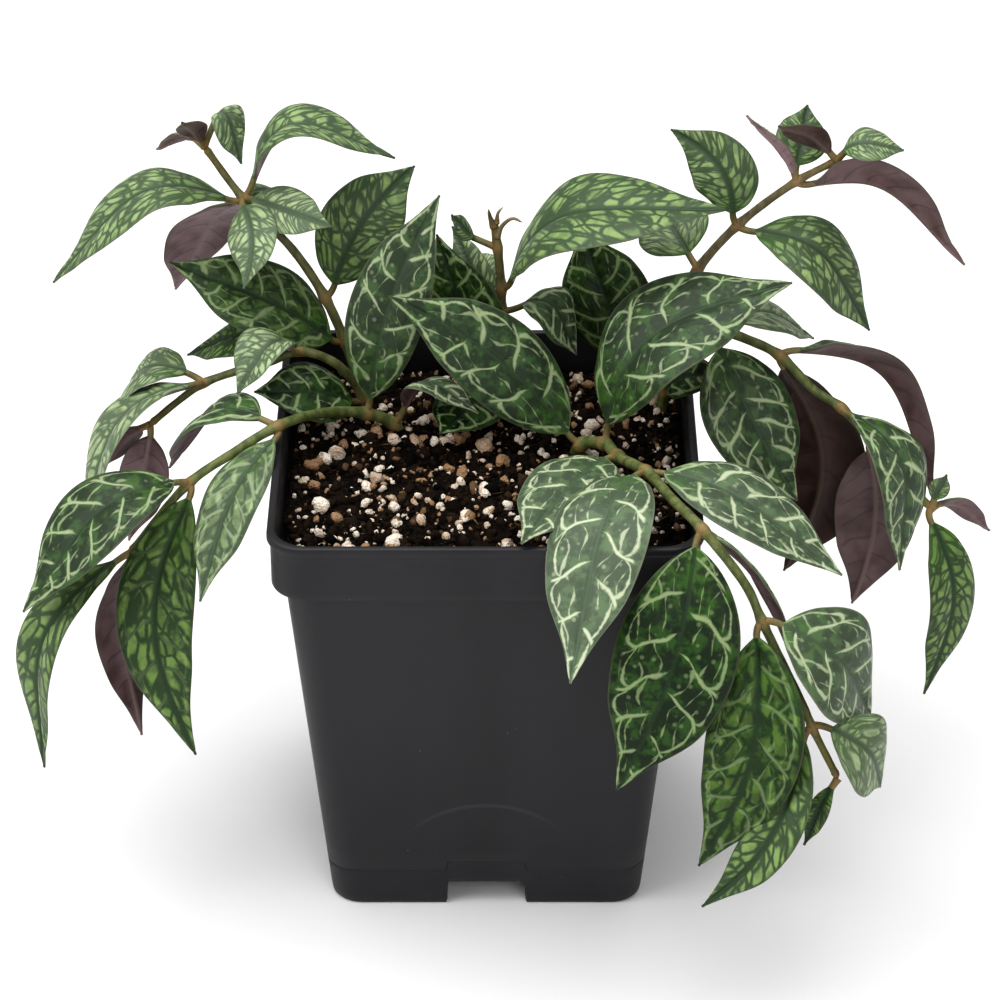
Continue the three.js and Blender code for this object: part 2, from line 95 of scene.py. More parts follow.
SHOOTS = {
    "upper_left": dict(
        bark=0.45,
        radii=(2.0, 1.2),
        path=[(-31, 34, 102), (-34, 35, 116), (-38, 36, 130), (-43, 38, 142), (-51, 40, 155),
              (-64, 43, 169), (-74, 46, 183)],
        leaves=[
            leaf(2, (-83, 30, 157), (0.2, -0.5, 0.8), 24, 4, age=0.45, pale=0.15),
            leaf(3, (-19, 52, 174), (-0.2, -0.85, 0.4), 22, 3, sweep=-3, age=0.75, pale=0.3),
            leaf(5, (-114, 30, 151), (-0.3, 0, 0.95), 28, 13, age=0.9, pale=0.45),
            leaf(5, (-24, 45, 180), (0.08, 0.08, 0.95), 24, 15, fold=20, age=1.0, pale=0.4),
            leaf(5, (-85, 62, 131), (-0.5, 0.8, 0.2), 22, 4, age=0.7, pale=0.8),
            leaf(5, (-40, 22, 172), (0.2, -0.8, 0.55), 13, 1, age=0.9, pale=0.75),
            leaf(5, (-63, 18, 156), (-0.3, -0.7, 0.6), 14, 3, sweep=-4, age=0.9, pale=0.75),
        ],
        young=[
            leaf(5, (-51, 60, 158), (0, 0, 1), 12, 3, age=0.6, pale=0.3),
            leaf(6, (-64, 40, 181), (0.3, -0.2, 0.95), 13, 12, age=0.8, pale=0.7),
            leaf(6, (-78, 30, 198), (-0.2, 0.8, 0.5), 8, 2, age=0.8, pale=0.2),
            leaf(6, (-87, 50, 180), (-0.6, 0.6, 0.5), 10, 3, age=0.8, pale=1.0),
        ],
    ),
    "left": dict(
        bark=0.25,
        radii=(1.8, 1.2),
        path=[(-30, 30, 102), (-33, 29, 116), (-40, 27, 128), (-50, 25, 133), (-57, 23, 131),
              (-65, 22, 129), (-75, 20, 126), (-82, 17, 122), (-89, 12, 118)],
        leaves=[
            leaf(3, (-65, 8, 130), (-0.5, -0.5, 0.7), 15, 8, fold=30, age=0.85, pale=0.8),
            leaf(1, (-61, 14, 127), (-0.2, -0.5, 0.8), 19, 3, age=0.2, pale=0.1),
            leaf(6, (-100, 28, 112), (-0.2, 0, 1), 22, 8, age=0.7, pale=0.8),
            leaf(6, (-107, -5, 94), (-0.7, -0.1, 0.7), 20, 11, fold=20, age=0.7, pale=0.75),
            leaf(8, (-96, 10, 83), (0.3, 0.9, 0.1), 14, 2, age=0.5, pale=0.7),
        ],
        young=[
            leaf(3, (-80, 35, 126), (-0.2, -0.2, 1), 16, 6, age=0.95, pale=0.1),
            leaf(8, (-103, 14, 103), (-0.5, 0.8, 0.3), 10, 2, age=0.6, pale=0.4),
        ],
    ),
    "front_left": dict(
        bark=0.05,
        radii=(2.0, 1.3),
        path=[(-20, 23, 102), (-25, 21, 113), (-32, 18, 118), (-41, 12, 122), (-54, -5, 128),
              (-66, -9, 122), (-77, -12, 115), (-93, -18, 97)],
        leaves=[
            leaf(2, (-12, 26, 179), (-0.2, -0.85, 0.4), 21, 3, sweep=-3, age=0.3, pale=0.4),
            leaf(1, (-2, 8, 124), (0.0, 0.30, 0.95), 15, 9, age=0.2, pale=0.6),
            leaf(4, (-84, 10, 106), (-0.1, 0.1, 1), 24, 9, age=0.2, pale=0.4),
            leaf(4, (-73, -40, 97), (-0.4, -0.5, 0.75), 17, 4, sweep=2, age=0.5, pale=0.5),
            leaf(6, (-76, -42, 50), (-0.2, -0.9, 0.4), 21, 3, sweep=10, age=0.6, pale=0.15),
            leaf(6, (-119, -36, 91), (-0.4, -0.4, 0.8), 25, 11, age=0.3, pale=0.25),
            leaf(7, (-117, -34, 40), (-0.72, -0.55, 0.35), 17, 15, fold=24, age=0.8, pale=0.25),
            leaf(7, (-93, -14, 36), (-0.7, 0.7, 0.2), 16, 7, age=0.5, pale=0.45),
        ],
        young=[],
    ),
    "middle": dict(
        bark=0.6,
        radii=(2.0, 1.4),
        path=[(4, 35, 102), (4, 36, 120), (4, 38, 138), (4, 38, 145), (3, 38, 157), (2, 39, 165)],
        stalks=[
            ([(2.8, 38, 160), (4.3, 37.5, 164), (7.1, 37, 166.4), (9.6, 36.5, 165.4)], (1.0, 0.5)),
            ([(2.0, 38.5, 163), (1.0, 38, 166.5), (0.6, 37, 169.2)], (1.1, 0.5)),
            ([(2.8, 38.5, 164), (3.2, 39, 167), (4.6, 39.5, 168.6)], (0.8, 0.4)),
        ],
        leaves=[
            leaf(1, (-13, 38, 161), (-0.3, -0.85, 0.4), 21, 3, age=0.4, pale=0.05),
            leaf(1, (-12, 6, 119), (-0.1, -0.5, 0.85), 18, -1, petiole=9, age=0.2, pale=0.0),
            leaf(3, (62, 20, 178), (-0.2, -0.2, 0.95), 30, 15, age=0.9, pale=0.3),
            leaf(2, (24, 30, 129), (0.4, -0.3, 0.85), 18, 10, age=0.2, pale=0.4),
        ],
        young=[
            leaf(2, (-9, 48, 158), (-0.4, -0.7, 0.4), 10, 3, age=0.8, pale=0.6),
            leaf(3, (-6, 52, 146), (0, -0.6, 0.8), 10, 3, age=0.8, pale=0.7),
            leaf(4, (-9, 34, 169), (0.3, -0.6, 0.7), 6, -3, petiole=12, age=1.0, pale=0.5),
        ],
    ),
    "upper_right": dict(
        bark=0.8,
        radii=(2.0, 1.2),
        path=[(42, 36, 102), (44, 36, 118), (50, 35, 140), (56, 34, 153), (66, 34, 166), (81, 34, 179),
              (91, 34, 185)],
        leaves=[
            leaf(1, (25, 50, 157), (-0.3, -0.85, 0.4), 25, 3, petiole=12, age=0.4, pale=0.05),
            leaf(3, (45, 52, 163), (0.1, -0.8, 0.5), 20, 2, age=0.6, pale=0.5),
            leaf(4, (48, 36, 193), (-0.3, -0.8, 0.5), 17, 4, sweep=6, age=0.9, pale=0.4),
            leaf(4, (101, 24, 140), (0.25, -0.35, 0.85), 23, 11, age=0.8, pale=0.4),
            leaf(5, (84, 48, 194), (0.1, -0.9, 0.3), 14, 1, age=0.9, pale=0.4),
            leaf(5, (124, 18, 163), (0.2, 0.55, 0.8), 22, 9, fold=34, age=0.8, pale=0.5),
        ],
        young=[
            leaf(5, (67, 30, 200), (0.5, 0.5, 0.6), 8, 2, age=0.8, pale=0.95),
            leaf(6, (75, 26, 199), (-0.2, 0.7, 0.6), 9, 3, age=0.8, pale=0.15),
            leaf(6, (108, 32, 189), (0, -0.2, 1), 14, 4, age=0.9, pale=0.6),
        ],
    ),
    "right": dict(
        bark=0.1,
        radii=(2.0, 1.2),
        path=[(46, 32, 102), (48, 30, 118), (52, 27, 132), (60, 22, 141), (70, 18, 140), (77, 14, 138),
              (86, 10, 130), (93, 6, 127), (101, 2, 119), (109, -1, 111), (117, -4, 102)],
        leaves=[
            leaf(1, (63, 18, 131), (-0.3, -0.5, 0.8), 12, 5, age=0.2, pale=0.1),
            leaf(3, (82, 0, 102), (0.3, -0.85, 0.4), 25, 3, sweep=2, age=0.35, pale=0.35),
            leaf(3, (87, 30, 134), (0, 0, 1), 20, 6, age=0.5, pale=0.8),
            leaf(5, (119, 2, 99), (0.5, 0.45, 0.7), 22, 14, fold=30, age=0.7, pale=0.4),
            leaf(5, (81, 18, 68), (0.5, 0.85, 0), 26, 5, sweep=10, age=0.5, pale=0.05),
            leaf(7, (108, -18, 92), (0.7, -0.5, 0.4), 22, 12, age=0.3, pale=0.45),
            leaf(8, (99, 8, 64), (0.1, 0.95, -0.1), 22, 3, sweep=4, age=0.5, pale=0.35),
            leaf(10, (117, -16, 51), (0.6, -0.7, 0.3), 17, 6, sweep=-4, age=0.9, pale=0.2),
        ],
        young=[
            leaf(10, (121, 0, 110), (-0.5, -0.7, 0.3), 6, 1, age=0.9, pale=0.5),
            leaf(10, (134, 4, 90), (0.3, 0.8, 0.4), 9, 4, age=0.8, pale=0.5),
        ],
    ),
    "front_right": dict(
        bark=0.1,
        radii=(2.1, 1.2),
        path=[(22, 11, 102), (25, 7, 115), (31, 1, 119), (34, -10, 122), (41, -24, 126), (47, -42, 129),
              (54, -56, 129), (65, -62, 116), (69, -64, 107), (80, -70, 85), (82, -71, 80),
              (89, -74, 66)],
        leaves=[
            leaf(1, (-25, 12, 157), (0.2, -0.75, 0.6), 24, 2, sweep=4, age=0.0, pale=0.25),
            leaf(2, (79, 12, 161), (-0.3, -0.4, 0.85), 31, 13, sweep=-5, age=0.0, pale=0.3),
            leaf(3, (9, -56, 125), (-0.1, -0.3, 0.95), 23, 3, age=0.0, pale=0.7),
            leaf(4, (21, -82, 101), (-0.2, -0.3, 0.95), 26, 12, age=0.0, pale=0.85),
            leaf(4, (90, -46, 109), (0.2, -0.2, 0.95), 24, 6, age=0.1, pale=0.7),
            leaf(6, (33, -80, 67), (-0.1, -0.9, 0.3), 31, 6, sweep=-4, age=0.2, pale=0.05),
            leaf(6, (79, -56, 88), (0.85, 0.35, 0.4), 17, 4, age=0.2, pale=0.5),
            leaf(8, (54, -84, 46), (-0.2, -0.9, 0.4), 25, 4, sweep=-7, age=0.5, pale=0.05),
            leaf(8, (98, -58, 74), (0.25, -0.6, 0.75), 28, 9, age=0.0, pale=0.65),
            leaf(10, (101, -64, 56), (0.35, -0.6, 0.7), 21, 7, age=0.6, pale=0.7),
            leaf(10, (55, -88, 36), (-0.4, -0.8, 0.4), 14, 3, sweep=-7, fold=24, age=0.75, pale=0.25),
        ],
        young=[
            leaf(11, (81, -78, 48), (-0.5, -0.7, 0.3), 6, 2, age=1.0, pale=0.2),
        ],
    ),
}


# ---------------------------------------------------------------- shader maths


class Value:
    """A number in a material's nodes. Arithmetic on it adds Math nodes."""

    def __init__(self, tree, socket):
        self.tree = tree
        self.socket = socket

    def math(self, operation, *others):
        return self.tree.node("ShaderNodeMath", {"operation": operation}, self, *others)

    def __add__(self, other):
        return self.math("ADD", other)

    def __radd__(self, other):
        return self.math("ADD", other)

    def __sub__(self, other):
        return self.math("SUBTRACT", other)

    def __rsub__(self, other):
        return self.tree.node("ShaderNodeMath", {"operation": "SUBTRACT"}, other, self)

    def __mul__(self, other):
        return self.math("MULTIPLY", other)

    def __rmul__(self, other):
        return self.math("MULTIPLY", other)

    def __truediv__(self, other):
        return self.math("DIVIDE", other)

    def abs(self):
        return self.math("ABSOLUTE")

    def most(self, other):
        return self.math("MAXIMUM", other)

    def ramp(self, low, high):
        """0 below low, 1 above high, and smooth between them."""
        settings = {"interpolation_type": "SMOOTHSTEP"}
        return self.tree.node("ShaderNodeMapRange", settings, self, low, high, 0.0, 1.0)


class Material:
    """A material under construction. node() adds any node: its type, its settings, then its inputs."""

    def __init__(self, name):
        self.material = bpy.data.materials.new(name)
        self.material.use_nodes = True
        self.nodes = self.material.node_tree.nodes
        self.links = self.material.node_tree.links
        self.shader = self.nodes["Principled BSDF"]

    def node(self, kind, settings, *inputs, output=0, **named):
        made = self.nodes.new(kind)
        for key, value in settings.items():
            setattr(made, key, value)
        for index, value in enumerate(inputs):
            self.feed(made.inputs[index], value)
        for key, value in named.items():
            self.feed(made.inputs[key], value)
        return Value(self, made.outputs[output])

    def feed(self, socket, value):
        if isinstance(value, Value):
            self.links.new(value.socket, socket)
        elif isinstance(value, tuple) and socket.type == "RGBA":
            socket.default_value = (*value, 1.0)
        else:
            socket.default_value = value

    def attribute(self, name):
        return self.node("ShaderNodeAttribute", {"attribute_name": name}, output=2)

    def position(self):
        return self.node("ShaderNodeTexCoord", {}, output=3)

    def vector(self, x, y, z):
        return self.node("ShaderNodeCombineXYZ", {}, x, y, z)

    def scaled(self, vector, scale):
        return self.node("ShaderNodeVectorMath", {"operation": "MULTIPLY"}, vector, scale)

    def centred(self, vector):
        """The vector less the place of the pot's axis."""
        axis = tuple(float(v) for v in AXIS)
        return self.node("ShaderNodeVectorMath", {"operation": "SUBTRACT"}, vector, axis)

    def parts(self, vector):
        made = self.node("ShaderNodeSeparateXYZ", {}, vector)
        return [Value(self, output) for output in made.socket.node.outputs]

    def length(self, a, b):
        return (a * a + b * b).math("SQRT")

    def noise(self, vector, scale, detail):
        inputs = {"Vector": vector, "Scale": scale, "Detail": detail}
        return self.node("ShaderNodeTexNoise", {}, **inputs)

    def cells(self, vector, scale, feature="DISTANCE_TO_EDGE"):
        inputs = {"Vector": vector, "Scale": scale}
        return self.node("ShaderNodeTexVoronoi", {"feature": feature}, output="Distance", **inputs)

    def mix(self, low, high, factor):
        """A colour between two colours."""
        made = self.node("ShaderNodeMix", {"data_type": "RGBA"}, factor, output=MIX_RESULT)
        self.feed(made.socket.node.inputs[MIX_LOW], low)
        self.feed(made.socket.node.inputs[MIX_HIGH], high)
        return made

    def bump(self, height, strength, distance):
        inputs = {"Height": height, "Strength": strength, "Distance": distance}
        return self.node("ShaderNodeBump", {}, **inputs)

    def finish(self, **inputs):
        """Feeds the Principled shader. A keyword's underscores stand for spaces."""
        for key, value in inputs.items():
            self.feed(self.shader.inputs[key.replace("_", " ")], value)
        return self.material


def blade_fields(m):
    """The blade's own coordinates and vein pattern, from the attributes that each leaf carries.

    Side veins leave the midrib at a slant and bend towards the tip, so the phase of a point is its
    distance along the leaf, less a growing share of its distance from the midrib, over the spacing of
    the veins. The two sides are out of step. ridge is 1 on a side vein and 0 half way to the next one."""
    x = m.attribute("leaf_x")
    y = m.attribute("leaf_y")
    half = m.attribute("leaf_half")
    seed = m.attribute("leaf_seed")
    spacing = m.attribute("leaf_spacing")
    away = x.abs()
    across = away / half.most(0.5)
    place = m.vector(x, y, seed * 17.0)
    warp = m.noise(place, 0.14, 0.0) - 0.5
    sides = x.math("GREATER_THAN", 0.0) * VEIN_OFFSET
    phase = (y - away * (VEIN_SLANT + VEIN_BEND * across) + warp * 5.0) / spacing + sides + seed
    ridge = (phase.math("FRACT") - 0.5).abs() * 2.0
    band = phase.math("FLOOR")
    return dict(y=y, half=half, seed=seed, away=away, across=across, place=place, ridge=ridge,
                phase=phase, band=band, warp=warp, spacing=spacing)


def leaf_upper_material():
    """Upper side. A mature leaf is mottled deep green with pale side veins, a scalloped vein that loops
    inside the margin, and short twigs of vein between them. A young one has rows of bright cells between
    dark veins."""
    m = Material("leaf_upper")
    f = blade_fields(m)
    age = m.attribute("leaf_age")
    pale = m.attribute("leaf_painted_sheen")
    along = m.attribute("leaf_v")
    across, away, ridge, place = f["across"], f["away"], f["ridge"], f["place"]
    ripple = m.noise(place, 0.30, 3.0)
    fine = m.noise(place, 0.9, 2.0)
    broken = m.noise(place, 0.16, 1.0)
    inside = 1.0 - across.ramp(0.80, 0.88)

    from_side_vein = (1.0 - ridge) * f["spacing"] * 0.38 + (fine - 0.5) * 0.45
    thickness = ((broken - 0.22) * 1.5).math("MINIMUM", 0.42) - 0.45 * (1.0 - across.ramp(0.02, 0.22))
    lateral = (1.0 - (from_side_vein - thickness).ramp(-0.25, 0.25)) * inside
    loop_at = 0.81 - 0.17 * ridge * ridge * ridge + f["warp"] * 0.20
    from_loop = ((across - loop_at) * f["half"]).abs() + (fine - 0.5) * 0.45
    loop = (1.0 - (from_loop - (ripple - 0.27) * 1.3).ramp(-0.25, 0.25)) * across.ramp(0.25, 0.5)
    twig_phase = (away + f["y"] * 0.25 + f["warp"] * 6.0) / 4.2 + f["band"] * 0.37 + f["seed"]
    from_twig = (twig_phase.math("FRACT") - 0.5).abs() * 4.2 + (fine - 0.5) * 0.5
    twig_noise = m.noise(place, 0.24, 1.0)
    twig = 1.0 - (from_twig - (twig_noise - 0.44) * 1.8).ramp(-0.2, 0.2)
    twig = twig * across.ramp(0.10, 0.2) * inside
    spot = (1.0 - m.cells(place, 0.34, "F1").ramp(0.12, 0.26)) * across.ramp(0.1, 0.2) * inside
    veins = lateral.most(loop * 0.9).most(twig * 0.7).most(spot * 0.35)

    halo = 1.0 - from_side_vein.ramp(0.6, 2.6)
    mottle = (ripple + halo * 0.10 + (fine - 0.5) * 0.30).ramp(0.46, 0.68)
    # The painted sheen value greys every green below towards silver: a painted reflection of the soft
    # lights, not the leaf's own colour.
    dark = m.mix((0.0025, 0.0130, 0.0009), (0.080, 0.112, 0.068), pale)
    bright = m.mix((0.0170, 0.0620, 0.0040), (0.125, 0.180, 0.100), pale)
    vein_green = m.mix((0.200, 0.275, 0.110), (0.540, 0.600, 0.410), pale + 0.12)
    mature = m.mix(m.mix(dark, bright, mottle), vein_green, veins * (0.80 + 0.2 * ripple))

    row = m.vector(away * 0.28 + f["warp"] * 0.8, f["phase"] * 2.0, f["seed"] * 17.0)
    cell_edge = m.cells(row, 1.0)
    cell = (cell_edge + (fine - 0.5) * 0.16).ramp(0.05, 0.22) * (1.0 - ridge.ramp(0.80, 1.0) * 0.85)
    cell = cell * away.ramp(0.5, 1.5) * (1.0 - across.ramp(0.86, 0.96) * 0.6)
    net_green = m.mix((0.0120, 0.0380, 0.0055), (0.130, 0.175, 0.105), pale)
    cell_green = m.mix((0.125, 0.225, 0.030), (0.450, 0.550, 0.320), pale)
    young = m.mix(net_green, cell_green, cell * (0.55 + 0.45 * ripple.ramp(0.38, 0.6)))

    blade = m.mix(mature, young, age.ramp(0.3, 0.7))
    base = 1.0 - along.ramp(0.02, 0.32)
    blade = m.mix(blade, (0.050, 0.135, 0.010), base * ripple.ramp(0.35, 0.65) * 0.55)
    midrib = 1.0 - away.ramp(0.15, 0.85)
    blade = m.mix(blade, m.mix((0.012, 0.030, 0.010), (0.085, 0.125, 0.075), pale), midrib * 0.8)
    margin = across.ramp(0.95, 0.99)
    blade = m.mix(blade, m.mix((0.060, 0.065, 0.030), (0.200, 0.215, 0.150), pale), margin * 0.8)

    relief = ridge.ramp(0.7, 1.0) * -0.5 + cell_edge.ramp(0.0, 0.3) * 0.4 - midrib + ripple * 0.3
    return m.finish(
        Base_Color=blade,
        Roughness=0.38 + 0.14 * ripple + veins * 0.06,
        Normal=m.bump(relief, 0.4, 0.0004),
        Specular_IOR_Level=0.25,
    )


def leaf_under_material():
    """Underside: brown to mauve, where the mauve is a painted sheen standing in for the lights'
    reflection;
    paler on the raised midrib and darker along faint side veins.
    """
    m = Material("leaf_under")
    f = blade_fields(m)
    pale = m.attribute("leaf_painted_sheen")
    cloud = m.noise(f["place"], 0.10, 3.0)
    deep = m.mix((0.024, 0.0105, 0.006), (0.056, 0.027, 0.019), cloud.ramp(0.35, 0.65))
    mauve = m.mix((0.165, 0.095, 0.098), (0.300, 0.195, 0.215), cloud.ramp(0.35, 0.65))
    # The painted sheen value turns the brown mauve: a painted reflection of the lights on the underside.
    skin = m.mix(deep, mauve, pale)
    vein = f["ridge"].ramp(0.80, 1.0) * (1.0 - f["across"].ramp(0.75, 0.9))
    skin = m.mix(skin, (0.030, 0.013, 0.014), vein * 0.4)
    midrib = 1.0 - f["away"].ramp(0.25, 1.0)
    skin = m.mix(skin, m.mix((0.080, 0.050, 0.030), (0.330, 0.230, 0.230), pale), midrib * 0.8)
    margin = f["across"].ramp(0.94, 0.99)
    skin = m.mix(skin, (0.075, 0.085, 0.035), margin * 0.7)
    return m.finish(
        Base_Color=skin,
        Roughness=0.45 + 0.12 * cloud,
        Normal=m.bump(midrib + vein * 0.4 + cloud * 0.3, 0.3, 0.0004),
        Specular_IOR_Level=0.4,
    )


def stem_material():
    """Stem: green where it's soft and tan where it has hardened, with lengthwise streaks, russet collars
    at the nodes and fine specks."""
    m = Material("stem_skin")
    position = m.position()
    along = m.attribute("stem_v")
    bark = m.attribute("stem_bark")
    collar = m.attribute("stem_node")
    streak = m.noise(m.scaled(position, (1.0, 1.0, 0.4)), 420.0, 3.0)
    speck = m.noise(position, 1600.0, 1.0)
    green = m.mix((0.060, 0.085, 0.018), (0.130, 0.160, 0.048), streak.ramp(0.35, 0.65))
    tan = m.mix((0.110, 0.085, 0.045), (0.220, 0.170, 0.095), streak.ramp(0.35, 0.65))
    skin = m.mix(green, tan, bark)
    skin = m.mix(skin, (0.200, 0.130, 0.035), along.ramp(0.8, 1.0) * 0.5)
    skin = m.mix(skin, (0.300, 0.170, 0.065), collar * 0.65)
    skin = m.mix(skin, (0.040, 0.036, 0.014), speck.ramp(0.62, 0.72) * 0.5)
    return m.finish(
        Base_Color=skin,
        Roughness=0.45 + 0.2 * streak,
        Normal=m.bump(streak + speck * 0.4, 0.35, 0.0003),
        Specular_IOR_Level=0.4,
    )


def pot_material():
    """Pot: satin charcoal plastic with a fine moulded grain, faint flow marks, dust and scuffs."""
    m = Material("pot_plastic")
    position = m.position()
    grain = m.noise(position, 2600.0, 2.0)
    flow = m.noise(m.scaled(position, (1.0, 1.0, 0.25)), 40.0, 4.0)
    dust = m.cells(position, 260.0, "F1")
    kept = m.noise(position, 70.0, 2.0)
    scuff = m.noise(m.scaled(position, (1.0, 1.0, 5.0)), 60.0, 5.0)
    charcoal = m.mix((0.0115, 0.0115, 0.0135), (0.0180, 0.0180, 0.0205), flow.ramp(0.3, 0.7))
    charcoal = m.mix(charcoal, (0.032, 0.032, 0.035), scuff.ramp(0.62, 0.78) * 0.35)
    # A moulded arch above the notch, on the front and the back: the ridge is a bump, and its lighter line
    # is a painted highlight of the light that catches the ridge.
    x, _, z = m.parts(m.centred(position))
    from_arch = (m.length(x, z - ARCH_CENTRE * MM) - ARCH_RADIUS * MM).abs()
    arch = (1.0 - from_arch.ramp(0.0002, 0.0009)) * z.ramp(0.024, 0.034)
    charcoal = m.mix(charcoal, (0.034, 0.034, 0.038), arch * 0.6)
    specks = (1.0 - dust.ramp(0.03, 0.07)) * kept.ramp(0.55, 0.68)
    charcoal = m.mix(charcoal, (0.120, 0.112, 0.100), specks * 0.8)
    return m.finish(
        Base_Color=charcoal,
        Roughness=0.40 + 0.12 * flow + scuff.ramp(0.55, 0.8) * 0.10,
        Normal=m.bump(grain * 0.6 + flow + arch * 3.0, 0.12, 0.0003),
        Specular_IOR_Level=0.32,
    )


def soil_material():
    """Soil: moist dark peat, brown fibres and scattered pale grit dust."""
    m = Material("soil_peat")
    position = m.position()
    clump = m.noise(position, 180.0, 5.0)
    fibre = m.noise(m.scaled(position, (1.0, 2.2, 1.0)), 700.0, 4.0)
    grit = m.cells(position, 900.0, "F1")
    peat = m.mix((0.0012, 0.0008, 0.0006), (0.016, 0.0095, 0.0055), clump.ramp(0.35, 0.7))
    peat = m.mix(peat, (0.070, 0.042, 0.022), fibre.ramp(0.58, 0.72) * 0.5)
    peat = m.mix(peat, (0.260, 0.190, 0.120), (1.0 - grit.ramp(0.05, 0.12)) * 0.35)
    return m.finish(
        Base_Color=peat,
        Specular_IOR_Level=0.08,
        Roughness=0.85,
        Normal=m.bump(clump + fibre * 0.7, 0.9, 0.0012),
    )


def crumb_material():
    """Crumbs of peat and bark, each with its own brown."""
    m = Material("soil_crumbs")
    tone = m.attribute("tone")
    rough = m.noise(m.position(), 1500.0, 3.0)
    dark = m.mix((0.0010, 0.0007, 0.0005), (0.018, 0.0105, 0.0065), tone.ramp(0.0, 0.75))
    brown = m.mix(dark, (0.170, 0.105, 0.055), tone.ramp(0.84, 1.0))
    return m.finish(
        Base_Color=m.mix(brown, (0.006, 0.004, 0.003), rough.ramp(0.5, 0.75) * 0.6),
        Specular_IOR_Level=0.08,
        Roughness=0.85,
        Normal=m.bump(rough, 0.8, 0.0006),
    )


def perlite_material():
    """Perlite and pumice: porous cream to white grains, some stained tan."""
    m = Material("perlite")
    tone = m.attribute("tone")
    position = m.position()
    pore = m.cells(position, 1500.0, "F1")
    stain = m.noise(position, 300.0, 3.0)
    cream = m.mix((0.30, 0.18, 0.095), (0.80, 0.72, 0.61), tone.ramp(0.1, 0.65))
    cream = m.mix(cream, (0.36, 0.21, 0.11), stain.ramp(0.45, 0.7) * 0.7)
    cream = m.mix(cream, (0.10, 0.06, 0.04), (1.0 - pore.ramp(0.1, 0.35)) * 0.5)
    return m.finish(
        Base_Color=cream,
        Specular_IOR_Level=0.3,
        Roughness=0.8,
        Normal=m.bump(pore, 0.8, 0.0005),
    )


# ---------------------------------------------------------------- meshes


def make_object(name, points, faces, materials, face_slots=None, attributes=None):
    """A smooth-shaded mesh object at the origin, riding on the root body. Points are in metres."""
    mesh = bpy.data.meshes.new(name)
    mesh.from_pydata(points.tolist(), [], faces.tolist() if isinstance(faces, np.ndarray) else faces)
    for material in materials:
        mesh.materials.append(material)
    if face_slots is not None:
        mesh.polygons.foreach_set("material_index", np.asarray(face_slots, dtype=np.int32))
    mesh.polygons.foreach_set("use_smooth", np.ones(len(mesh.polygons), dtype=bool))
    for key, values in (attributes or {}).items():
        layer = mesh.attributes.new(key, "FLOAT", "POINT")
        layer.data.foreach_set("value", np.asarray(values, dtype=np.float32))
    mesh.update()
    made = bpy.data.objects.new(name, mesh)
    bpy.context.scene.collection.objects.link(made)
    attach(made, "root")
    return made


def ring_quads(rows, count):
    """Quads between neighbouring rings, where points are numbered ring by ring, count to a ring."""
    r, c = np.meshgrid(np.arange(rows - 1), np.arange(count), indexing="ij")
    a = r * count + c
    b = r * count + (c + 1) % count
    return np.stack([a, b, b + count, a + count], axis=-1).reshape(-1, 4)


def to_metres(points):
    """Pot-axis millimetres to the frame's metres."""
    return np.asarray(points) * MM + AXIS


def unit(vectors):
    return vectors / np.linalg.norm(vectors, axis=-1, keepdims=True)


def leaf_base(shoot, item, joined):
    """Where a leaf starts: on the stem's axis when it is still one with the shoot, else just off the skin
    of the stem, on the side that the leaf grows to."""
    path = np.array(shoot["path"], dtype=float)
    at = item["at"]
    if joined:
        return path[at]
    last = len(path) - 1
    radius = np.interp(at / last, (0, 1), shoot["radii"])
    stem_way = unit(path[min(at + 1, last)] - path[max(at - 1, 0)])
    leaf_way = unit(np.array(item["tip"]) - path[at])
    leaf_way = unit(leaf_way + unit(np.array(item["face"], dtype=float)) * 3 * item["arch"] / 60)
    slant = leaf_way @ stem_way
    outward = unit(leaf_way - stem_way * slant)
    return path[at] + outward * (radius + START_GAP)


def smooth_step(low, high, x):
    """0 below low, 1 above high, and smooth between them."""
    t = np.clip((x - low) / (high - low), 0, 1)
    return t * t * (3 - 2 * t)


def blade_outline(v):
    """Half width over the blade's greatest half width: a power of the way from the base times a power of
    the way from the tip, scaled to be 1 at the widest place, then pinched before the tip, which draws it
    out into a drip tip."""
    rise = (v / WIDEST) ** (WIDEST * FULLNESS)
    fall = ((1 - v) / (1 - WIDEST)) ** ((1 - WIDEST) * FULLNESS)
    shoulder = 0.03 * smooth_step(0.55, 0.75, v) * (1 - smooth_step(0.75, 0.88, v))
    pinch = 0.26 * smooth_step(0.66, 0.91, v) * (1 - smooth_step(0.94, 1.0, v))
    return rise * fall * (1 + shoulder - pinch)


def midrib(item, start, t):
    """The midrib at fractions t: the chord, bowed towards the face by a lopsided sine and sideways by a
    plain one. It returns the curve and the way that the blade faces."""
    chord = np.array(item["tip"]) - start
    along = unit(chord)
    face = np.array(item["face"], dtype=float)
    face = unit(face - (face @ along) * along)
    side = np.cross(along, face)
    bow = item["arch"] * np.sin(np.pi * t) * (1 + 0.35 * np.cos(np.pi * t))
    swing = item.get("sweep", 0) * np.sin(np.pi * t)
    return start + chord * t[:, None] + face * bow[:, None] + side * swing[:, None], face


